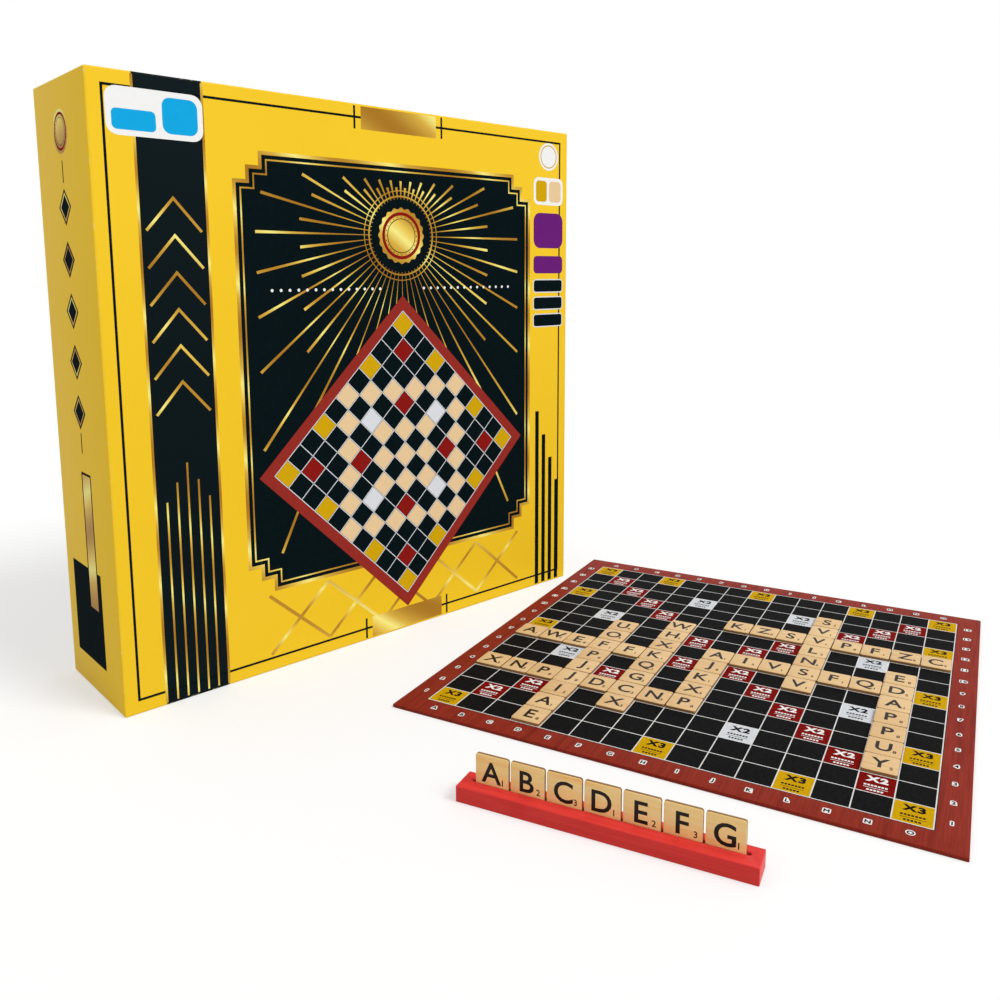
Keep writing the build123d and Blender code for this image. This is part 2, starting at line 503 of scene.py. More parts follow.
def rubbedEdges(finish, size):  # 1 on the outer edges of a box, broken up by noise
    near = [(axis / mm).least(length - axis / mm) for axis, length in zip(finish.axes(), size)]
    edge = near[0].least(near[1]).most(near[0].most(near[1]).least(near[2]))
    return (1 - edge.ease(0.0, printed["wearWidth"])) * finish.grain("rub").ease(0.5, 0.68)


def boxPrint(name, size, banded):  # yellow print, with the cover's dark band where it is banded
    finish = Finish(name, roughness=0.45, gloss=printed["gloss"])
    layers = [(finish.grain("boxTone").ease(0.3, 0.7), printed["deepYellow"])]
    if banded:
        across = finish.axes()[0] / mm
        left, right = printed["band"]
        layers.append(((across > left) * (across < right), shade(*flatInks["dark"])))
    layers.append((rubbedEdges(finish, size) * printed["wear"], printed["worn"]))
    finish.paint(printed["yellow"], *layers)
    finish.dull(paperGrain(finish), 0.12)
    return finish


def goldInk(name):  # printed gold, shaded in waves along a slant
    finish = Finish(name, roughness=0.34, gloss=0.05)
    along = finish.vector("DOT_PRODUCT", finish.place, gold["slant"], output="Value")
    wave = (along / (gold["wave"] * mm) + finish.grain("goldDrift") * gold["drift"]) * tau
    finish.paint(finish.add("ValToRGB", {"stops": gold["stops"]}, [wave.sine() * 0.5 + 0.5]))
    paperGrain(finish)
    return finish


def flatInk(name, colour):
    finish = Finish(name, roughness=0.42, gloss=printed["inkGloss"])
    tone = finish.grain("inkTone")
    lighter = [min(1.0, part * 1.05 + printed["inkLift"]) for part in colour[:3]]
    finish.paint(colour, (tone, (*lighter, 1.0)))
    finish.dull(tone, 0.12)
    paperGrain(finish)
    return finish


def greyBoard(name):
    finish = Finish(name, roughness=0.85)
    fibres, flecks = finish.grain("greyFibres"), finish.grain("greyFlecks").ease(0.64, 0.72)
    finish.paint(shade(150, 145, 136), (fibres, shade(186, 181, 171)), (flecks * 0.5, shade(96, 90, 84)))
    finish.emboss(fibres, "greyboard")
    return finish


def plainCard(name, dark, light, roughness=0.7):
    finish = Finish(name, roughness=roughness)
    fibres = finish.grain("cardFibres")
    finish.paint(dark, (finish.grain("cardCloud") * 0.5 + fibres * 0.5, light))
    finish.emboss(fibres, "card")
    return finish


def tileWood(name, colours, grain, streaked, tinted):  # each tile has its own grain and tint
    pale, deep, streak = [shade(*screen) for screen in colours]
    finish = Finish(name, roughness=0.48, gloss=0.15)
    own = finish.add("NewGeometry", output="Random Per Island")
    moved = finish.add("CombineXYZ", {}, [own * 3.7, own * 11.3, own * 5.9])
    local = finish.vector("ADD", finish.place, moved)
    fine = finish.grain(grain, local)
    broad = finish.grain("tileStreaks", local).ease(0.52, 0.72)
    pores = finish.grain("tilePores", local).ease(0.62, 0.72)
    streaks = [(broad * streaked, streak), (pores * 0.35, streak)]
    colour = finish.layers(deep, (fine.ease(0.3, 0.7), pale), *streaks)
    tint = finish.mix(own, shade(255, 252, 246), shade(243, 232, 216))
    finish.paint(finish.mix(tinted, colour, tint, "MULTIPLY"))
    finish.dull(fine, 0.2)
    finish.emboss(fine * 0.6 + pores * -0.4, "tile")
    return finish


def letterInk(name):
    finish = Finish(name, roughness=0.5, gloss=0.2)
    tone = finish.grain("letter")
    finish.paint(shade(16, 11, 8), (tone, shade(32, 24, 18)))
    finish.emboss(tone, "letter")
    return finish


def boardBorder(name):  # a printed red-brown wood, its grain running from front to back
    finish = Finish(name, roughness=0.6, gloss=0.07)
    fine, broad = finish.grain("borderFine"), finish.grain("borderBroad").ease(0.5, 0.72)
    streaks = (broad * 0.55, shade(102, 24, 17))
    finish.paint(shade(129, 39, 26), (fine.ease(0.3, 0.7), shade(147, 48, 34)), streaks)
    finish.emboss(fine, "board")
    return finish


def boardInk(name, dark, light):
    finish = Finish(name, roughness=0.66, gloss=0.02)
    cloth = finish.grain("linen")
    finish.paint(dark, (cloth.ease(0.3, 0.7), light))
    finish.dull(cloth, 0.16)
    finish.emboss(cloth, "board")
    return finish


def rackLacquer(name):
    finish = Finish(name, roughness=0.4, gloss=0.1)
    strokes, cloud = finish.grain("brush"), finish.grain("lacquerCloud").ease(0.55, 0.75)
    clouds = (cloud * 0.3, shade(206, 44, 42))
    finish.paint(shade(218, 56, 52), (strokes.ease(0.3, 0.7), shade(229, 66, 61)), clouds)
    finish.dull(strokes, 0.2)
    finish.emboss(strokes, "lacquer")
    return finish


tileWoods = {  # pale, deep and streak colour, grain, and the shares of streaks and of the own tint
    "boardTile": (((234, 204, 157), (226, 192, 143), (208, 167, 112)), "boardTile", 0.35, 0.8),
    # a lighter copy of the tile wood for the rack's tiles: painted light against the shade on the rack's
    # front
    "rackTile": (((255, 225, 161), (255, 214, 137), (255, 187, 102)), "rackTile", 0.75, 0.3),
    # a darker copy of the tile wood for the tiles' sides: painted shade
    "shadedTileSide": (((164, 127, 84), (142, 106, 66), (110, 79, 46)), "boardTile", 0.6, 0.8),
}
flatInks = {
    "dark": (5, 19, 23), "cream": (236, 205, 158), "red": (140, 24, 20), "redBrown": (150, 46, 38),
    "amber": (212, 168, 10), "pale": (222, 226, 232), "white": (246, 246, 244), "purple": (106, 32, 120),
    "blue": (20, 170, 230),
}
boardPrints = {
    "cell": ((15, 15, 16), (25, 25, 26)),
    "gridLine": ((214, 214, 212), (232, 232, 230)),
    "triple": ((198, 153, 3), (208, 165, 8)),
    "double": ((114, 8, 4), (128, 15, 9)),
    "paleCell": ((204, 208, 214), (216, 220, 225)),
    "whiteSign": ((228, 228, 226), (244, 244, 242)),
    "darkSign": ((12, 11, 10), (22, 20, 18)),
}
finishes = {
    "coverPrint": boxPrint("coverPrint", boxSize, True),
    "trayPrint": boxPrint("trayPrint", traySize, False),
    "gold": goldInk("goldInk"),
    "greyboard": greyBoard("greyBoard"),
    "insert": plainCard("insertCard", shade(206, 202, 194), shade(226, 223, 216)),
    "leaflet": plainCard("leafletPaper", shade(236, 234, 228), shade(246, 245, 241), 0.6),
    "backing": plainCard("backingPaper", shade(24, 24, 26), shade(36, 36, 38)),
    "letter": letterInk("letterInk"),
    "border": boardBorder("boardBorder"),
    "lacquer": rackLacquer("rackLacquer"),
}
for name, screen in flatInks.items():
    finishes[name] = flatInk(name + "Ink", shade(*screen))
for name, (dark, light) in boardPrints.items():
    finishes[name] = boardInk(name + "Ink", shade(*dark), shade(*light))
for name, wood in tileWoods.items():
    finishes[name] = tileWood(name + "Wood", *wood)
print("finishes:", len(finishes))


# Game box: wraps round the greyboard, with the printed design

wrap = {"sheet": 0.25, "board": 2.0, "lip": 15.0, "round": 0.9, "rimRound": 0.25, "printRoom": 0.05,
        "corner": 0.945, "taper": 0.9, "least": 0.05, "steps": 5}
room = wrap["printRoom"]
toBack = Matrix(((1, 0, 0, 0), (0, 0, 1, 0), (0, 1, 0, 0), (0, 0, 0, 1)))  # up becomes back


def wrapShape(size, toPlace):  # a sheet round an open box
    wide, deep, high = size
    sheet, lip, curve, rim = [wrap[part] for part in ("sheet", "lip", "round", "rimRound")]
    wall = sheet + wrap["board"]
    quarter = arcPoints((0, 0), 1, 0, 90, wrap["steps"])
    profile = [(room + curve * (1 - b), room + curve * (1 - a)) for a, b in quarter]
    profile += [(room + rim * (1 - a), deep - rim * (1 - b)) for a, b in quarter]
    profile += [(wall + sheet - rim * (1 - b), deep - rim * (1 - a)) for a, b in quarter]
    profile += [(wall + sheet, deep - lip), (wall, deep - lip), (wall, deep - sheet)]
    profile += [(sheet, deep - sheet), (sheet, sheet)]
    return sheetShape(profile, wide, high, wrap, toPlace @ toBack)


def planeOn(corner, right, up):  # a face's drawing plane, with its lower left corner, in the box's frame
    right, up = Vector(right), Vector(up)
    rows = Matrix((right, up, right.cross(up))).transposed().to_4x4()
    return Matrix.Translation(Vector(corner) * mm) @ rows


turnTray = Matrix.Translation((traySize[0] * mm, traySize[1] * mm, 0)) @ Matrix.Rotation(pi, 4, "Z")
lidShape, trayShape = wrapShape(boxSize, Matrix()), wrapShape(traySize, turnTray)
setDown("lidWrap", lidShape, ["coverPrint"], boxPlace, "lid", ["lid_wrap"])
setDown("trayWrap", trayShape, ["trayPrint"], trayPlace, "tray", ["tray_wrap"])
for node in ("lid_board", "tray_board", "board_core"):
    dress(node, "greyboard")

coverPlan = {
    "outline": inset((0, 0, boxWide, boxHigh), 7.0),
    "panel": (66.0, 44.0, 262.0, 266.0),
    "sun": {"middle": (164.0, 228.0), "start": 20.0, "rays": 56, "rings": ((21.5, 0.9), (24.5, 0.5)),
            "rosette": 15.0, "level": 3},
    "dots": (84.0, 33, 5.0, 199.0, 0.8, 10.0),  # left, count, pitch, height, radius and gap in the middle
    "bar": (139.0, 189.0, 13.0, 4.0),  # left, right, height and how far off its two lines are
    "lattice": (76.0, 5, 35.2, 9.0, 41.0, 1.8),  # left, count, pitch, low, high and width
    "skyline": ((268.0, 118.0), (274.0, 102.0), (280.0, 86.0), (286.0, 70.0)),  # left and top
    "skylineWide": 3.2,
    "stripes": (5.25, 0.45, 1.5, 118.0, 9.0),  # pitch, half of the width, low, high and drop
    "chevrons": (142.0, 6, 17.0, 15.0, 3.0, 1.3),  # low, count, pitch, rise, gap beside them and width
    "bandEdge": 0.6,
    "disc": ((279.0, 280.0), 8.5, 6.8, 0.7),  # middle, radius, and its hoop's radius and width
    "tabRound": (0.24, 5),  # share of the shorter side, and steps
    "tabRim": 0.7,
    "tabs": (  # bare tabs: lower left corner, size, ink and level
        (8.0, 268.0, 44.0, 21.0, "white", 3), (33.0, 270.5, 16.5, 16.0, "blue", 5),
        (10.5, 270.5, 19.5, 9.0, "blue", 5), (266.0, 250.0, 26.0, 17.0, "white", 3),
        (268.0, 252.0, 9.5, 13.0, "amber", 5), (279.5, 252.0, 10.5, 13.0, "cream", 5),
        (266.0, 223.0, 26.0, 22.0, "purple", 3), (266.0, 207.0, 26.0, 11.0, "purple", 3),
        (266.0, 195.0, 26.0, 8.0, "dark", 3), (266.0, 184.0, 26.0, 8.0, "dark", 3),
        (266.0, 173.0, 26.0, 8.0, "dark", 3),
    ),
}
quilt = {"middle": (164.0, 104.0), "cells": 11, "cell": 10.6, "border": 6.0, "square": 9.8, "line": 0.45}
spinePlan = {
    "block": (10.0, 16.0, 50.0, 64.0),
    "bar": (33.0, 44.0, 45.0, 112.0),
    "diamonds": (142.0, 5, 24.0, 8.5, 6.3),  # first, count, pitch, and half of the outer and inner size
    "strokes": ((122.0, 132.0), (249.0, 259.0)),
    "rosette": (272.0, 10.0),
}
topPlan = {"bounds": (92.0, 15.0, 252.0, boxDeep - 15.0), "pitch": (14.0, 0.0), "half": 6.0, "bar": 10.0}
rightPlan = {"bounds": (15.0, 60.0, boxDeep - 15.0, 236.0), "pitch": (0.0, 16.0), "half": 6.5,
               "blocks": ((14.0, 46.0), (250.0, 282.0))}
backPlan = {
    "outline": inset((0, 0, traySize[0], traySize[2]), 8.0),
    "panel": (26.0, 96.0, traySize[0] - 26.0, traySize[2] - 26.0),
    "sun": {"middle": (traySize[0] / 2, 182.0), "start": 26.0, "rays": 48, "rings": ((24.0, 0.9),),
            "rosette": 18.0, "level": 2},
    "small": (28.0, 82.0, 4, 8.0, (6.0, 11.0, 16.0)),  # low, high, count, gap and the diamonds' halves
}
frameLines = {  # step of the corners, widths of the two lines and the gap between them
    "wide": (7.0, 1.8, 0.8, 3.2),
    "fine": (4.0, 1.4, 0.7, 2.6),
    "small": (3.0, 1.2, 0.6, 2.4),
}
sunRay = {"inset": 8.0, "cut": 14.0, "long": 0.97, "short": 0.62, "root": 0.15, "tip": 0.75}
rosetteParts = {  # in shares of its radius
    "scallops": (20, 120, 0.035),  # count, steps and depth
    "rings": (("red", 0.8, 0.12), ("dark", 0.62, 0.03)),
    "dots": (24, 0.69, 0.022),
}


def steppedOutline(bounds, step):  # a rectangle with stairs for corners
    left, low, right, high = bounds
    stairs = [(0, 2), (1, 2), (1, 1), (2, 1), (2, 0)]
    points = []
    turns = [(left, low, 1, 1), (right, low, -1, 1), (right, high, -1, -1), (left, high, 1, -1)]
    for u, v, du, dv in turns:
        points += [(u + du * a * step, v + dv * b * step) for a, b in stairs[::du * dv]]
    return points


def goldFrame(book, bounds, lines):
    step, outer, inner, gap = frameLines[lines]
    book.ink("dark").fill(steppedOutline(bounds, step))
    book.ink("gold").line(steppedOutline(bounds, step), outer, 2, closed=True)
    book.line(steppedOutline(inset(bounds, gap), step), inner, 2, closed=True)


def goldDiamond(book, middle, half):
    book.ink("gold").line(diamond(middle, half), printed["fineLine"], 2, closed=True)


def sunRays(book, sun, bounds):  # rays that end before a frame with cut corners
    left, low, right, high = bounds
    middle, start = Vector(sun["middle"]), sun["start"]
    limits = [((1, 0), right), ((-1, 0), -left), ((0, 1), high), ((0, -1), -low)]
    for u, endU in ((1, right), (-1, -left)):
        limits += [((u, v), endU + endV - sunRay["cut"]) for v, endV in ((1, high), (-1, -low))]
    limits = [(Vector(way), limit) for way, limit in limits]
    book.ink("gold")
    for number in range(sun["rays"]):
        turn = tau * number / sun["rays"]
        along = Vector((cos(turn), sin(turn)))
        side = Vector((-along.y, along.x))
        ahead = [(way, limit) for way, limit in limits if along.dot(way) > 1e-6]
        reach = min((limit - middle.dot(way)) / along.dot(way) for way, limit in ahead)
        end = start + (reach - start) * sunRay["short" if number % 2 else "long"]
        root, tip = sunRay["root"], sunRay["tip"]
        points = [(start, -root), (end, -tip), (end, tip), (start, root)]
        book.fill([tuple(middle + along * a + side * b) for a, b in points], 2)


def rosette(book, middle, radius, level):
    scallops, steps, depth = rosetteParts["scallops"]
    outline = []
    for step in range(steps):
        turn = tau * step / steps
        reach = radius * (1 + depth * cos(turn * scallops))
        outline.append((middle[0] + reach * cos(turn), middle[1] + reach * sin(turn)))
    book.ink("gold").fill(outline, level)
    for name, reach, width in rosetteParts["rings"]:
        book.ink(name).hoop(middle, radius * reach, radius * width, level + 1)
    count, reach, size = rosetteParts["dots"]
    for spot in ringPoints(middle, radius * reach, count):
        book.disc(spot, radius * size, level + 1, steps=10)


def sunPanel(book, design):  # a face's outline and its framed sunburst
    sun = design["sun"]
    book.ink("dark").line(boxOutline(*design["outline"]), printed["line"], 1, closed=True)
    goldFrame(book, design["panel"], "wide")
    sunRays(book, sun, inset(design["panel"], sunRay["inset"]))
    for reach, width in sun["rings"]:
        book.hoop(sun["middle"], reach, width, sun["level"])
    rosette(book, sun["middle"], sun["rosette"], sun["level"])


def diamondRow(book, row):  # a frame with nine diamonds in it
    goldFrame(book, row["bounds"], "fine")
    for number in range(-4, 5):
        goldDiamond(book, middleOf(row["bounds"]) + Vector(row["pitch"]) * number, row["half"])


def quiltInk(du, dv):  # by how many squares a square is from the middle one
    if du + dv in (0, 2, 5):
        return "cream"
    if du == dv and du in (2, 4):
        return "red"
    if (du, dv) in ((5, 5), (5, 2), (2, 5)):
        return "amber"
    if (du, dv) in ((3, 0), (0, 3)):
        return "pale"
    return None


def drawQuilt(book):  # a quilt of squares on a grid that stands on its corner
    cells, cell = quilt["cells"], quilt["cell"]
    half = cells * cell / 2
    slant = Matrix.Rotation(radians(45), 2)

    def turned(points):
        return [tuple(Vector(quilt["middle"]) + slant @ Vector(point)) for point in points]

    def square(name, reach, level, u=0.0, v=0.0):
        book.ink(name).fill(turned(boxOutline(u - reach, v - reach, u + reach, v + reach)), level)

    square("redBrown", half + quilt["border"], 3)
    square("dark", half, 4)
    book.ink("pale")
    for at in evenly(-half, cells + 1, cell):
        book.line(turned([(at, -half), (at, half)]), quilt["line"], 5)
        book.line(turned([(-half, at), (half, at)]), quilt["line"], 5)
    for column in range(cells):
        for row in range(cells):
            name = quiltInk(abs(column - cells // 2), abs(row - cells // 2))
            if name:
                square(name, quilt["square"] / 2, 5, (column + 0.5) * cell - half, (row + 0.5) * cell - half)


def drawTabs(book):
    share, steps = coverPlan["tabRound"]
    for left, low, wide, high, name, level in coverPlan["tabs"]:
        corner = min(wide, high) * share
        outline = roundedOutline(wide, high, corner, steps, (left + wide / 2, low + high / 2))
        if name == "dark":
            book.ink("pale").line(outline, coverPlan["tabRim"], 4, closed=True)
        book.ink(name).fill(outline, level)
    middle, radius, reach, width = coverPlan["disc"]
    book.ink("white").disc(middle, radius, 3)
    book.ink("amber").hoop(middle, reach, width, 4)


def drawBandEdges(book, high):
    half, margin = coverPlan["bandEdge"], printed["margin"]
    for side in printed["band"]:
        book.ink("gold").box(side - half, margin, side + half, high - margin, 2)


def drawBand(book):  # stripes and chevrons on the cover's dark band
    left, right = printed["band"]
    middle = (left + right) / 2
    pitch, half, low, high, drop = coverPlan["stripes"]
    book.ink("gold")
    for number in range(-2, 3):
        at = middle + number * pitch
        book.box(at - half, low, at + half, high - abs(number) * drop, 2)
    low, count, pitch, rise, gap, width = coverPlan["chevrons"]
    for foot in evenly(low, count, pitch):
        book.line([(left + gap, foot), (middle, foot + rise), (right - gap, foot)], width, 2)
    drawBandEdges(book, boxHigh)


def drawCover(book):
    line, margin = printed["line"], printed["margin"]
    left, count, pitch, low, high, width = coverPlan["lattice"]
    book.ink("gold")
    for at in evenly(left, count, pitch):  # crossing lines under the panel
        book.line([(at, low), (at + pitch, high)], width, 1)
        book.line([(at, high), (at + pitch, low)], width, 2)
    book.ink("dark")
    for at, height in coverPlan["skyline"]:
        book.box(at, margin, at + coverPlan["skylineWide"], height, 2)
    sunPanel(book, coverPlan)
    left, count, pitch, height, radius, gap = coverPlan["dots"]
    book.ink("white")
    for at in evenly(left, count, pitch):
        if abs(at - quilt["middle"][0]) > gap:
            book.disc((at, height), radius, 3, steps=12)
    drawQuilt(book)
    drawBand(book)
    left, right, height, gap = coverPlan["bar"]
    for low, high in ((margin, height), (boxHigh - height, boxHigh - margin)):
        book.ink("gold").box(left, low, right, high, 3)
        book.ink("dark")
        for at in (left - gap, right + gap):
            book.line([(at, low), (at, high)], line, 3)
    drawTabs(book)


def drawSpine(book):
    middle, line = boxDeep / 2, printed["line"]
    book.ink("dark").box(*spinePlan["block"])
    book.ink("gold").box(*spinePlan["bar"], 2)
    book.ink("dark").line(boxOutline(*spinePlan["bar"]), line, 3, closed=True)
    first, count, pitch, outer, inner = spinePlan["diamonds"]
    for height in evenly(first, count, pitch):
        book.ink("dark").fill(diamond((middle, height), outer))
        goldDiamond(book, (middle, height), inner)
    book.ink("dark")
    for low, high in spinePlan["strokes"]:
        book.line([(middle, low), (middle, high)], line)
    height, radius = spinePlan["rosette"]
    rosette(book, (middle, height), radius, 1)


def drawTop(book):
    diamondRow(book, topPlan)
    drawBandEdges(book, boxDeep)
    left, right = coverPlan["bar"][:2]
    book.box(left, printed["margin"], right, topPlan["bar"], 2)


def drawRight(book):
    diamondRow(book, rightPlan)
    left, right = rightPlan["bounds"][::2]
    book.ink("dark")
    for low, high in rightPlan["blocks"]:
        book.box(left, low, right, high)


def drawBack(book):
    sunPanel(book, backPlan)
    first, last = backPlan["panel"][::2]
    low, high, count, gap, halves = backPlan["small"]
    pitch = (last - first + gap) / count
    for left in evenly(first, count, pitch):
        bounds = (left, low, left + pitch - gap, high)
        goldFrame(book, bounds, "small")
        for half in halves:
            goldDiamond(book, middleOf(bounds), half)


inks = ["dark", "gold", "cream", "red", "redBrown", "amber", "pale", "white", "purple", "blue"]
sides = [  # name, drawing, the plane's corner, its right and up, and what it rides on
    ("cover", drawCover, (0, room, 0), (1, 0, 0), (0, 0, 1), boxPlace, "lid"),
    ("spine", drawSpine, (room, boxDeep, 0), (0, -1, 0), (0, 0, 1), boxPlace, "lid"),
    ("top", drawTop, (0, 0, boxHigh - room), (1, 0, 0), (0, 1, 0), boxPlace, "lid"),
    ("right", drawRight, (boxWide - room, 0, 0), (0, 1, 0), (0, 0, 1), boxPlace, "lid"),
    ("back", drawBack, (traySize[0], traySize[1] - room, 0), (-1, 0, 0), (0, 0, 1), trayPlace, "tray"),
]
for name, draw, corner, right, up, place, body in sides:
    book = Drawing(planeOn(corner, right, up), printed["layer"], inks)
    draw(book)
    book.piece(name + "Design", place, body, "box_print")
print("box printed:", len(sides), "sides")


# Board: printed face sheet, its grid and its signs

board = {"border": 12.5, "cells": 15, "cell": 15.0, "sheet": 0.25, "turnIn": 14.0, "round": 0.3,
         "corner": 0.4, "taper": 0.5, "least": 0.05, "steps": 3, "lineWidth": 0.5, "rimLine": 0.3}
boardWide, boardHigh, boardThick = boardSize
boardInks = ["border", "cell", "gridLine", "triple", "double", "paleCell"]


def cellInk(column, row):  # columns from the left and rows from the front, both from 1
    low, high = sorted((abs(column - 8), abs(row - 8)))
    if high == 7 and low in (0, 4, 7):
        return "triple"
    if low == high and low < 7:
        return "double"
    if high == 5 and low == 2:
        return "paleCell"
    return "cell"


def boardSheetShape():  # the sheet's closed skin, with the lines of the grid cut into its top
    curve, sheet, thick, turnIn = board["round"], board["sheet"], boardThick, board["turnIn"]
    quarter = arcPoints((0, 0), 1, 0, 90, board["steps"])
    profile = [(curve * (1 - b), thick - curve * (1 - a)) for a, b in quarter]
    profile += [(curve * (1 - a), curve * (1 - b)) for a, b in quarter]
    profile += [(turnIn, 0), (turnIn, sheet), (sheet, sheet), (sheet, thick - sheet)]
    shape = sheetShape(profile, boardWide, boardHigh, board, Matrix())

    def isTop(face):
        return face.normal.z > 0.99 and face.calc_center_median().z > 0.9 * thick * mm

    cells, cell = board["cells"], board["cell"]
    half = board["lineWidth"] / 2
    rim = half + board["rimLine"]
    first, last = board["border"], board["border"] + cells * cell
    cuts = [first + number * cell + side for number in range(cells + 1) for side in (-half, half)]
    for normal in (Vector((1, 0, 0)), Vector((0, 1, 0))):
        for cut in cuts + [first - rim, last + rim]:
            parts = set()
            for face in filter(isTop, shape.faces):
                parts.update([face], face.edges, face.verts)
            at = normal * cut * mm
            bmesh.ops.bisect_plane(shape, geom=list(parts), dist=1e-7, plane_co=at, plane_no=normal)
    for face in shape.faces:
        u, v = face.calc_center_median().xy / mm
        beyond = max(first - u, u - last, first - v, v - last)  # outside the grid, if above 0
        name = "border"
        if isTop(face) and beyond < half:
            places = [(value - first) / cell for value in (u, v)]
            onLine = any(abs(place - round(place)) * cell < half for place in places)
            name = "gridLine" if onLine else cellInk(int(places[0]) + 1, int(places[1]) + 1)
        elif isTop(face) and beyond < rim:
            name = "cell"
        face.material_index = boardInks.index(name)
    return shape


boardSigns = {
    "layer": 0.01,
    "edgeAt": 0.52,  # share of the border's width
    "edge": (2.35, 0.4),  # height and weight of the border's signs
    "rim": 0.5,
    "multiplier": (4.1, 0.52),  # height and weight
    "wide": 1.1,
    "lift": 3.4,
    "rows": ((-1.8, 7, 1.35, 1.15), (-5.4, 5, 1.35, 1.15)),  # height, dashes, pitch and how tall
    "dashGap": (0.1, 0.35),
    "rule": (-3.6, 9.4, 0.3),  # height, length and width
}


def drawMultiplier(book, kind, u, v):
    book.ink("whiteSign" if kind == "double" else "darkSign")
    spot = (u, v + boardSigns["lift"])
    book.sign("X3" if kind == "triple" else "X2", spot, *boardSigns["multiplier"], 1, boardSigns["wide"])
    before, gap = boardSigns["dashGap"]
    for rise, dashes, pitch, tall in boardSigns["rows"]:
        for dash in range(dashes):
            left = u + (dash - dashes / 2) * pitch + before
            book.box(left, v + rise - tall / 2, left + pitch - gap, v + rise + tall / 2)
    rise, long, thick = boardSigns["rule"]
    book.box(u - long / 2, v + rise - thick / 2, u + long / 2, v + rise + thick / 2)


def drawBoard():
    top = Matrix.Translation((0, 0, boardThick * mm))
    book = Drawing(top, boardSigns["layer"], ["whiteSign", "darkSign"])
    first, cell, cells = board["border"], board["cell"], board["cells"]
    edge = first * boardSigns["edgeAt"]
    for number in range(cells):
        at = first + (number + 0.5) * cell
        for beside in (edge, boardHigh - edge):
            for text, spot in ((chr(ord("A") + number), (at, beside)), (str(number + 1), (beside, at))):
                book.ink("whiteSign").signRim(text, spot, *boardSigns["edge"], boardSigns["rim"])
                book.ink("darkSign").sign(text, spot, *boardSigns["edge"], 2)
    for column in range(1, cells + 1):
        for row in range(1, cells + 1):
            kind = cellInk(column, row)
            if kind != "cell":
                drawMultiplier(book, kind, first + (column - 0.5) * cell, first + (row - 0.5) * cell)
    book.piece("boardSigns", boardPlace, "board", "board_print")


boardSheet = boardSheetShape()
setDown("boardSheet", boardSheet, boardInks, boardPlace, "board", ["board_face"], 30)
dress("board_backing", "backing")
drawBoard()
print("board printed")


# Letter tiles

tile = {"corner": 1.0, "taper": 1.0, "least": 0.0, "steps": 5, "topRound": 0.22, "footRound": 0.1,
        "roundSteps": 3, "raised": 0.012, "tilt": 0.7, "drift": 0.1, "slack": 0.01, "pitch": 14.6}
tileSigns = {  # height, weight and place of the letter, then of the number
    "boardTile": ((8.0, 0.2, (-0.3, 0.1)), (2.3, 0.22, (4.4, -3.0))),
    "rackTile": ((8.9, 0.16, (-0.3, 0.2)), (2.6, 0.14, (4.6, -2.9))),
}
tileAlphabet = "ABCDEFGHIJKLNOPQRSTUVWXYZ"  # all letters that can be drawn bolder
tileNumbers = "12358"


def addTile(shape, size, toPlace, texts, signs):  # a tile with its letter and its small number
    wide, high, thick = size
    foot, top = tile["footRound"], tile["topRound"]
    quarter = arcPoints((0, 0), 1, 0, 90, tile["roundSteps"])
    profile = [(foot * (1 - b), foot * (1 - a)) for a, b in quarter]
    profile += [(top * (1 - a), thick - top * (1 - b)) for a, b in quarter]
    slack = 2 * tile["slack"]
    rings = profileRings(profile, wide - slack, high - slack, tile)
    skin = loft(shape, rings, toPlace)
    for face in skin[2:2 + len(rings[0]) * len(rings) // 2]:  # the sides, up to the rounding of the face, take the darker side wood, which is painted shade
        face.material_index = 2
    for text, (height, weight, spot) in zip(texts, signs):
        place = toPlace @ Matrix.Translation((*spot, thick))
        stamp(shape, glyph(text, height, weight, tile["raised"]), place, 1)


def tilePiece(name, node, place, body, wood, stand, letters):
    # stand turns a tile from face up to how it lies or stands
    shape = bmesh.new()
    for low, high in sorted(nodeIslands(node, place), key=lambda ends: tuple(round(c, 1) for c in ends[0])):
        middle, size = (low + high) / 2, high - low
        thin = min(range(3), key=lambda axis: size[axis])
        thick, wide, tall = sorted(size)
        base = Matrix.Translation(middle) @ stand @ Matrix.Translation((0, 0, -thick / 2))
        turn = radians(dice.uniform(-tile["tilt"], tile["tilt"])) if thin == 2 else 0.0
        drift = Vector((dice.uniform(-1, 1), dice.uniform(-1, 1), 0)) * (tile["drift"] if thin == 2 else 0.0)
        toPlace = Matrix.Scale(mm, 4) @ base @ Matrix.Translation(drift) @ Matrix.Rotation(turn, 4, "Z")
        addTile(shape, (wide, tall, thick), toPlace, letters(middle), tileSigns[wood])
    bmesh.ops.recalc_face_normals(shape, faces=shape.faces)
    return setDown(name, shape, (wood, "letter", "shadedTileSide"), place, body, [node])


def signsAt(place):
    place %= len(tileAlphabet)
    return tileAlphabet[place], tileNumbers[place % len(tileNumbers)]


def boardLetters(middle):
    column, row = [int((middle[axis] - board["border"]) // board["cell"]) + 1 for axis in range(2)]
    return signsAt(column ** 3 + row ** 3 + column * row * 2 + row * 6)


def spareLetters(middle):
    return signsAt(int(middle[0] / tile["pitch"]) * 3 + int(middle[2] / tile["pitch"]) * 8)


lying = Matrix()
standing = Matrix.Rotation(radians(90), 4, "X")
words = [node for node in nodes if node.startswith("word_")]
for node in words:
    tilePiece("tiles-" + node, node, boardPlace, node, "boardTile", lying, boardLetters)
rackTiles = sorted(node for node in nodes if node.startswith("rack_tile_"))
for number, node in enumerate(rackTiles):
    texts = (chr(ord("A") + number), str(1 + number % 3))
    tilePiece("tile-" + node, node, rackPlace, node, "rackTile", standing,
              lambda middle, texts=texts: texts)
tilePiece("tiles-spare", "spare_tiles", boxPlace, "tray", "boardTile", standing, spareLetters)
print("tiles:", len(words), "words,", len(rackTiles), "on the rack")


# Racks, insert and leaflet

easing = {"width": 0.25 * mm, "segments": 3, "limit_method": "ANGLE", "angle_limit": radians(50)}


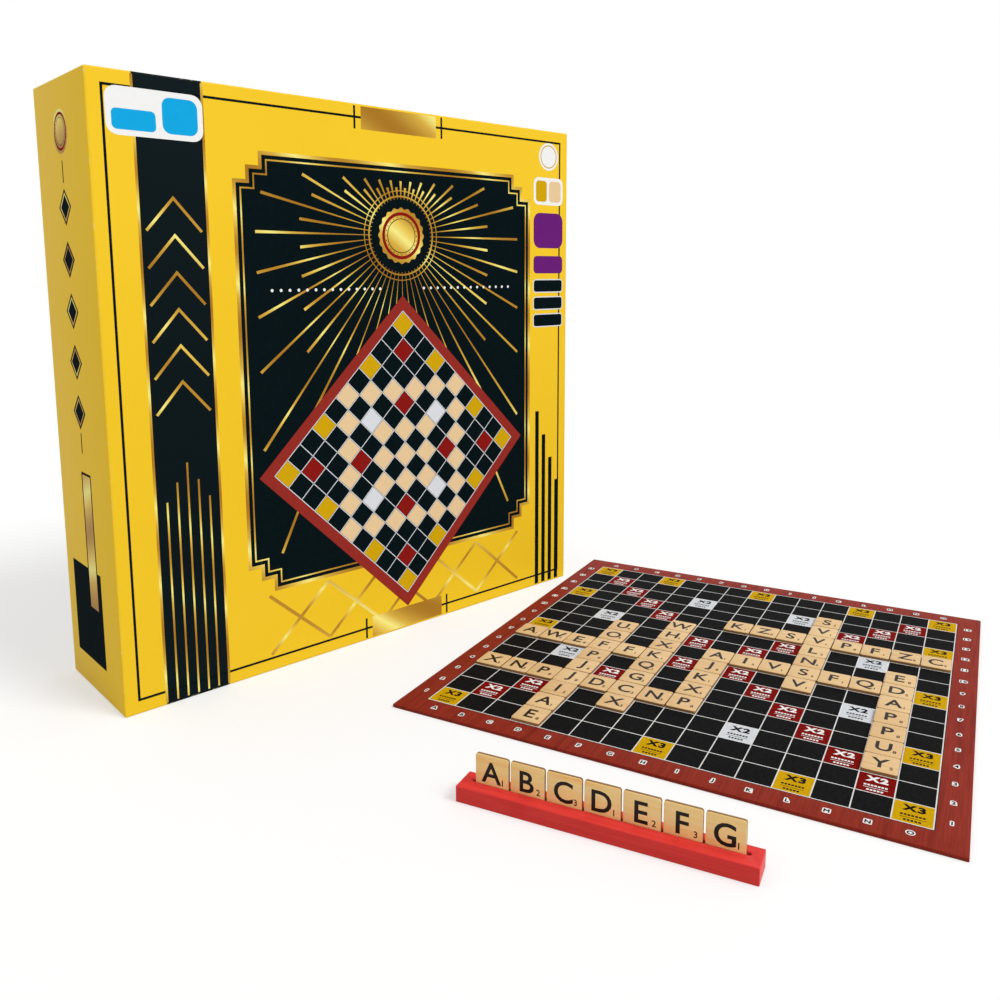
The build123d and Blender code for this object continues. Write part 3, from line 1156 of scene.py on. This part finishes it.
def easedBar(name, node, place, body):  # a rack with its sharp edges eased
    shape = nodeShape(node, place, flat=1)
    piece = setDown(name, shape, ["lacquer"], place, body, [node])
    give(piece.modifiers.new("easing", "BEVEL"), **easing)
    eased = settledMesh(piece)
    piece.modifiers.clear()
    piece.data = eased
    eased.shade_smooth()
    eased.set_sharp_from_angle(angle=radians(40))


easedBar("rackBar", "rack", rackPlace, "rack")
for node in sorted(name for name in nodes if name.startswith("spare_rack_")):
    easedBar("bar-" + node, node, boxPlace, "tray")
dress("folded_insert", "insert")
dress("rules_leaflet", "leaflet")
print("racks and insert done")


# Floor, light and camera

stage = {
    "floor": 6.0,
    "floorColour": shade(196, 196, 196),
    "floorLift": 0.44,  # what the camera sees more than the floor's own light, so that it looks white
    "white": (0.62, 1.05),  # from where to where the floor turns white
    "sky": 0.66,
    "key": 1.7,
    "keyTurn": (42.6, 0.0, 22.4),
    "keySpread": 24.0,
}
eye = {"place": (-0.3469, -0.2996, 0.2096), "down": 8.26, "turn": -42.77, "lens": 32.66,
       "shift": (-0.0153, -0.099)}


def makeFloor():
    shape = bmesh.new()
    bmesh.ops.create_circle(shape, cap_ends=True, radius=stage["floor"], segments=96)
    data = bpy.data.meshes.new("floor")
    shape.to_mesh(data)
    shape.free()
    floor = newObject("floor", data)
    finish = Finish("floorPaint", roughness=0.9, gloss=0.1)
    finish.fix("Base Color", stage["floorColour"])
    reach = finish.vector("LENGTH", finish.place, output="Value")
    painted = Wire(finish, finish.shader.outputs[0])
    lifted = finish.add("AddShader", {}, [painted, finish.light("Emission", stage["floorLift"])])
    whiter = [reach.ease(*stage["white"]), lifted, finish.light("Emission", 1.0)]
    near = finish.add("MixShader", {}, whiter)
    finish.surface(finish.add("MixShader", {}, [finish.rays(), painted, near]))
    data.materials.append(finish.material)


def makeSky():
    world = bpy.data.worlds.new("studio")
    bpy.context.scene.world = world
    world.use_nodes = True
    sky = NodeTree(world.node_tree)
    soft, white = [sky.light("Background", strength) for strength in (stage["sky"], 1.0)]
    sky.surface(sky.add("MixShader", {}, [sky.rays(), soft, white]))


def makeKey():
    lamp = bpy.data.lights.new("key", "SUN")
    give(lamp, energy=stage["key"], angle=radians(stage["keySpread"]))
    newObject("key", lamp).rotation_euler = [radians(turn) for turn in stage["keyTurn"]]


def makeCamera():
    lens = bpy.data.cameras.new("camera")
    give(lens, lens=eye["lens"], sensor_width=36, clip_start=0.01)
    lens.shift_x, lens.shift_y = eye["shift"]
    camera = newObject("camera", lens)
    camera.location = eye["place"]
    camera.rotation_euler = (radians(90 - eye["down"]), 0, radians(eye["turn"]))
    bpy.context.scene.camera = camera


makeFloor()
makeSky()
makeKey()
makeCamera()
bpy.context.scene.view_settings.view_transform = "Standard"
print("stage set")
